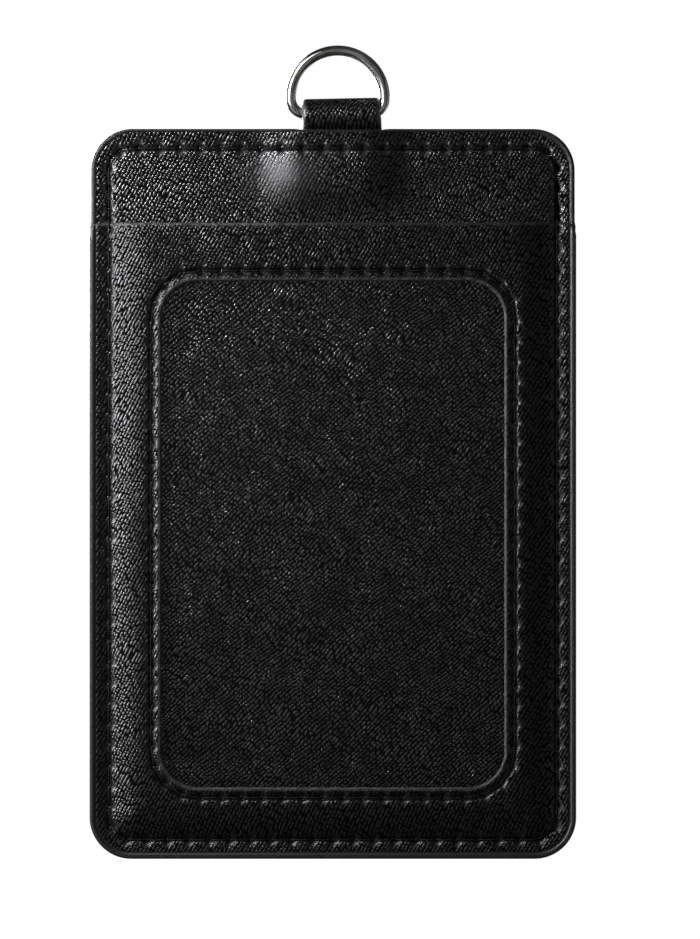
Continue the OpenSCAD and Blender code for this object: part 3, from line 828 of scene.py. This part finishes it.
edge = {
    # in from the outline, and depth as a share of the stack's
    "section": [(0.52, 0.94), (0.43, 0.985), (0.33, 0.995), (0.2, 0.965), (0.08, 0.88), (0.02, 0.74),
                (0.0, 0.6), (0.03, 0.53), (0.04, 0.5), (0.01, 0.42), (0.0, 0.2), (0.02, 0.0)],
    "inside": (0.75, 0.9),
    "ends": ((0, 0.5), (1, 0.85), (-1, 0.5), (-2, 0.85)),  # the last steps of a run get smaller
    "topShare": 0.9, "strapGap": 0.3,
    "upFrom": 1.2, "lowTo": 1.1,  # below the mouth: where the base's paint starts and the pockets' ends
}


def upperDepth(x, z):
    return wallet["skinFace"] + moundLift(x, z)


def lowerDepth(x, z):
    return np.full_like(x, wallet["rimFace"])


def paintBand(stack, outline, counts, keep):  # an open run of the outline, closed at both ends
    inside, deep = edge["inside"]
    section = edge["section"] + [(inset, -share) for inset, share in edge["section"][-2::-1]]
    rings = []
    at = ringPoints(outline, 0, counts)
    keepWide = 1 - topNarrow(*at.T) * edge["topShare"] if outline is bodyOutline else np.ones(len(at))
    for inset, share in section + [(inside, -deep), (inside, deep)]:
        flat = at + (ringPoints(outline, inset, counts) - at) * keepWide[:, None]
        rings.append(np.stack([flat[:, 0], -share * (stack(*flat.T) + wallet["air"]), flat[:, 1]], 1))
    rings = np.stack(rings)[:, keep].transpose(1, 0, 2)  # one small ring at each step of the run
    for near, size in edge["ends"]:
        centre = rings[near].mean(0)
        rings[near] = centre + (rings[near] - centre) * size
    return rings


def paintPiece():
    counts = dict(skinSheet["counts"], side=40, low=4, top=140, topBend=30, footBend=4, foot=4)
    x, z = ringPoints(bodyOutline, 0, counts).T
    up = z > mouthZ - edge["upFrom"]
    left = np.flatnonzero(up & (x < strap["left"] - edge["strapGap"]))
    right = np.flatnonzero(up & (x > strap["right"] + edge["strapGap"]))
    low = dict(pocketOutline, top=mouthZ - edge["lowTo"], topR=wallet["leastR"])
    lowCounts = {"side": 240, "topBend": 2, "top": 2, "footBend": 40, "foot": 180}
    first = lowCounts["side"] + 2 * lowCounts["topBend"] + lowCounts["top"]
    under = [*range(first, len(ringPoints(low, 0, lowCounts))), *range(lowCounts["side"])]
    return tubes("paintedEdge", [paintBand(*band) for band in (
        (upperDepth, bodyOutline, counts, left), (upperDepth, bodyOutline, counts, right),
        (lowerDepth, low, lowCounts, under))])


print("painted edge")
place(paintPiece(), "edge_coat", "edgePaint", "edge_finish")


# the strap and the ring

def strapSide(r, depth, drop):  # its leg, a straight run and half its fold
    bar = ring["barZ"]
    first = math.atan2(-drop, depth) + math.acos(r / math.hypot(depth, drop))
    turn = first + (math.pi / 2 - first) * np.linspace(0, 1, 33)
    fold = np.stack([r * np.cos(turn), bar + r * np.sin(turn)], 1)
    leg = lineRun(depth, strap["foot"], depth, bar - strap["part"], 26)
    return np.concatenate([leg, lineRun(depth, bar - drop, *fold[0], 16), fold])


def strapPath():  # matched points of its two sides, over the fold
    outer = strapSide(strap["foldR"], strap["leg"], strap["part"])
    inner = strapSide(strap["eyeR"], strap["gap"], strap["meet"])
    for _ in range(5):  # ease the bends of the outer side
        outer[1:-1] = (outer[:-2] + 2 * outer[1:-1] + outer[2:]) / 4
    return [np.concatenate([side, side[-2::-1] * (-1, 1)]) for side in (outer, inner)]


def strapPiece():
    # each row across it: its place, how deep in the leather, how raw and how smooth
    bevel = [(step, down, 0.6 if step < 0.42 else 0, 1 if step < 0.6 else 0.3)
             for step, down in strap["bevel"]]
    under = [(0.06, 0.97, 1, 1), (0, 0.7, 1, 1)]
    rings, marks = [], []
    for (outDepth, outZ), (inDepth, inZ) in zip(*strapPath()):
        rise = ramp((outZ - wallet["top"]) / (ring["barZ"] - wallet["top"]))
        left = strap["left"] + (strap["foldLeft"] - strap["left"]) * rise
        right = strap["right"] + (strap["foldRight"] - strap["right"]) * rise
        rows = [(left + step, *row) for step, *row in bevel]
        rows += [(x, 0, 0, 0) for x in np.linspace(left + 0.9, right - 0.9, 44)]
        rows += [(right - step, *row) for step, *row in bevel[::-1] + under[::-1]]
        rows += [(x, 1, 0.5, 0.5) for x in np.linspace(right - 0.3, left + 0.3, 8)]
        rows += [(left + step, *row) for step, *row in under]
        x, share, cut, rub = np.array(rows).T
        lift = strap["tilt"] * (x - middleX) * rise * (1 - share)
        rings.append(np.stack([x, -(outDepth + (inDepth - outDepth) * share),
                               outZ + (inZ - outZ) * share + lift], 1))
        marks.append((cut, rub))
    cut, rub = (np.concatenate(values) for values in zip(*marks))
    return tubes("foldedStrap", [rings], {"cut": cut, "rub": rub})


print("strap and ring")
place(strapPiece(), "hanging_strap", "strapLeather", "grain_leather")


def ringPath():
    r, z, bend, bar = ring["arcR"], ring["arcZ"], ring["bend"], ring["barZ"]
    side, low = r - bend, bar + bend
    return np.concatenate([
        arcRun(0, z, r, 0, 180, 150), lineRun(-r, z, -r, low, 8),
        arcRun(-side, low, bend, 180, 270, 20), lineRun(-side, bar, side, bar, 60),
        arcRun(side, low, bend, 270, 360, 20), lineRun(r, low, r, z, 8)])


def tube(path, r, sides):  # a round wire along a flat, closed path of x, z
    rings = []
    ahead = np.roll(path, -1, 0) - np.roll(path, 1, 0)
    for (x, z), (dx, dz) in zip(path, ahead / np.linalg.norm(ahead, axis=1)[:, None]):
        a = np.linspace(0, 2 * math.pi, sides, endpoint=False)
        rings.append(np.stack([x + r * np.cos(a) * dz, r * np.sin(a), z - r * np.cos(a) * dx], 1))
    return rings


dRing = place(tubes("dRing", [tube(ringPath(), ring["wireR"], ring["sides"])], closed=True),
              "d_ring", "ringMetal", "ring_metal", "ring")


# threads

stitching = {
    "sides": 18, "stepsAlong": 14, "ends": 0.02, "plies": 3, "plyDepth": 0.1, "twist": 3.2,
    "dive": 0.55, "diveBend": 5,  # how deep each end goes down, and how late
}


def twistedStitch(a, b, depthA, depthB, r, sign, spin):
    # a plied thread that comes up out of hole a, lies in the groove and goes down at b
    span = math.hypot(b[0] - a[0], b[1] - a[1])
    ux, uz = (b[0] - a[0]) / span, (b[1] - a[1]) / span
    side, dive, bend = np.array([-uz, 0, ux]), stitching["dive"], stitching["diveBend"]
    turn = np.linspace(0, 2 * math.pi, stitching["sides"], endpoint=False)
    rings, along = [], []
    for t in np.linspace(stitching["ends"], 1 - stitching["ends"], stitching["stepsAlong"]):
        x, z = a[0] + (b[0] - a[0]) * t, a[1] + (b[1] - a[1]) * t
        bow = abs(2 * t - 1)
        depth = depthA + (depthB - depthA) * t - dive * bow ** bend
        slope = -dive * 2 * bend * bow ** (bend - 1) * math.copysign(1, 2 * t - 1) / span
        out = np.array([-slope * ux, -1.0, -slope * uz]) / math.hypot(1, slope)
        thick = r * (1 - stitching["plyDepth"] * (1 + np.cos(
            stitching["plies"] * (turn - spin - stitching["twist"] * t * span))) / 2)
        ringAt = (np.array([x, -depth, z]) + np.outer(thick * np.cos(turn), out)
                  + np.outer(thick * np.sin(turn), side))
        ringAt[:, 1] *= sign
        rings.append(ringAt)
        along.append(np.full(len(turn), 0.5 + 0.5 * math.sin(9 * t + spin)))
    return rings, along


def threadPiece(name, node, lines, r, sign):
    draw = np.random.default_rng(len(name))
    stitches = [twistedStitch(*ends, r, sign, draw.uniform(0, 6.3))
                for line, depths in lines for ends in zip(line, line[1:], depths, depths[1:])]
    along = np.concatenate([mark for _, marks in stitches for mark in marks])
    return place(tubes(name, [rings for rings, _ in stitches], {"along": along}),
                 node, "blackThread", "black_thread")


print("threads")
edgeR, windowR = seams["thread"] / 2, seams["windowThread"] / 2
grooveDeep = sum(relief[form][0] for form in ("valley", "dip", "step", "lean")) - seams["bed"]
edgeRuns = [(line, stack(*np.array(line).T) - grooveDeep + edgeR - seams["sink"])
            for line, stack in ((upperLine, upperDepth), (lowerLine, lowerDepth))]
threadPiece("edgeNeedleThread", "edge_needle_thread", edgeRuns, edgeR, 1)
threadPiece("edgeBobbinThread", "edge_bobbin_thread", edgeRuns, edgeR, -1)

loop = windowHoles + windowHoles[:1]
windowDeep = pockets["front"]["room"] + relief["windowValley"][0] + relief["windowDip"][0] + wallet["air"]
onFace = np.full(len(loop), pockets["front"]["face"] - windowDeep + windowR)
threadPiece("windowNeedleThread", "window_needle_thread", [(loop, onFace)], windowR, 1)
inside = np.full(len(loop), seams["windowUnder"])
threadPiece("windowBobbinThread", "window_bobbin_thread", [(loop, inside)], windowR, 1)


# the board inside the base

board = {"pinchMore": 1.5}


def boardPiece():  # as wide as the base that it lies in, so narrower above the mouth
    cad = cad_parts["base_board"]
    points = np.array([cad.matrix_world @ corner.co for corner in cad.data.vertices]) / mm
    points[:, 0] -= (points[:, 0] - middleX) * narrowing(points[:, 2], wallet["pinch"] * board["pinchMore"])
    return makeMesh("stiffBoard", points, [list(face.vertices) for face in cad.data.polygons], smooth=False)


print("board")
place(boardPiece(), "base_board", "bondedBoard", "stiff_board")


# studio: floor, backdrop, lights and camera

studio = {
    "floorZ": -0.19, "roomR": 3.2, "lens": 400, "sensor": 36, "tall": 134.97, "plane": 2.0, "farEnd": 20,
    "lookX": 1.754, "lookZ": -59.55, "grey": (0.86, 0.86, 0.86, 1), "pale": (0.9, 0.9, 0.9, 1),
    # degrees off the camera's line, degrees round from the left, distance, size, watts, aim
    "key": (40, 34, 0.11, (0.019, 0.024), 0.105, (-0.024, 0, -0.025)),
    "leftCard": (60, 22, 0.4, (0.5, 0.55), 0.6, (0, 0, -0.02)),
    "nearLeft": (66, 12, 0.2, (0.05, 0.08), 0.4, (-0.035, 0, -0.06)),
    "lowCard": (50, -33, 0.6, (0.35, 0.35), 0.15, (0, 0, -0.06)),
    "rightCard": (84, 180, 0.5, (0.4, 0.5), 0.1, (0, 0, -0.06)),
    "backCard": (180, 0, 0.7, (1.3, 1.3), 1.3, (0, 0, -0.06)),
    "backSide": (133, 201, 0.6, (0.5, 0.5), 0.5, (0, 0, -0.06)),
    "backKey": (148, 35, 0.25, (0.1, 0.12), 0.7, (0, 0, -0.06)),
    "ringCard": (46, 24, 0.4, (0.32, 0.42), 1.0, (0, 0, -0.006)),
    "ringSide": (92, 22, 0.4, (0.3, 0.5), 0.16, (0, 0, -0.006)),
    "ringFront": (0, 0, 0.6, (0.8, 0.8), 0.2, (0, 0, -0.006)),
    "world": 0.05,
}


def paleStage(start, place):
    return start.node("ShaderNodeBsdfPrincipled", None, {
        "Base Color": place.noise(0.002, 2).mixed(studio["grey"], studio["pale"]), "Roughness": 0.9,
        "Emission Color": (1, 1, 1, 1), "Emission Strength": 1.0})


def addStage():
    bpy.ops.mesh.primitive_plane_add(size=2 * studio["roomR"], location=(0, 0, studio["floorZ"]))
    floor = bpy.context.object
    bpy.ops.mesh.primitive_uv_sphere_add(segments=48, ring_count=24, radius=studio["roomR"])
    room = bpy.context.object
    for stand, name in ((floor, "paleFloor"), (room, "paleBackdrop")):
        stand.name = name
        stand.data.materials.append(material(name, paleStage))
        stand.visible_diffuse = stand.visible_glossy = stand.visible_shadow = False


def softLight(name, turn, rise, far, size, power, aim):
    light = bpy.data.lights.new(name, "AREA")
    light.shape = "RECTANGLE"
    light.size, light.size_y = size
    light.energy = power
    stand = addObject(name, light)
    turn, rise = math.radians(turn), math.radians(rise)
    way = Vector((-math.sin(turn) * math.cos(rise), -math.cos(turn), math.sin(turn) * math.sin(rise)))
    stand.location = Vector(aim) + way * far
    stand.rotation_euler = way.to_track_quat("Z", "Y").to_euler()
    stand.visible_camera = False
    return stand


def ringLights(label, *names):  # lights that light the ring alone, or leave it out
    group = bpy.data.collections.new(label)
    group.objects.link(dRing)
    for name in names:
        softLight(name, *studio[name]).light_linking.receiver_collection = group
    return group


def addCamera():
    camera = bpy.data.cameras.new("camera")
    camera.sensor_fit = "VERTICAL"
    camera.sensor_height = studio["sensor"]
    camera.lens = studio["lens"]
    camera.clip_end = studio["farEnd"]
    stand = addObject("camera", camera)
    away = studio["tall"] * studio["lens"] / studio["sensor"] + studio["plane"]
    stand.location = (studio["lookX"] * mm, -away * mm, studio["lookZ"] * mm)
    stand.rotation_euler = (math.pi / 2, 0, 0)
    bpy.context.scene.camera = stand


print("studio")
addStage()
for name in ("key", "lowCard", "rightCard", "backCard", "backSide", "backKey"):
    softLight(name, *studio[name])
ringLeftOut = ringLights("ringLeftOut", "leftCard", "nearLeft")  # the wire would mirror them as bare white
ringLeftOut.collection_objects[0].light_linking.link_state = "EXCLUDE"
ringLights("ringOnly", "ringCard", "ringSide", "ringFront")  # white cards that only the wire mirrors
addCamera()
world = bpy.context.scene.world or bpy.data.worlds.new("world")
bpy.context.scene.world = world
world.use_nodes = True
sky = world.node_tree.nodes["Background"].inputs
sky["Color"].default_value = (1, 1, 1, 1)
sky["Strength"].default_value = studio["world"]
bpy.context.scene.view_settings.view_transform = "Standard"
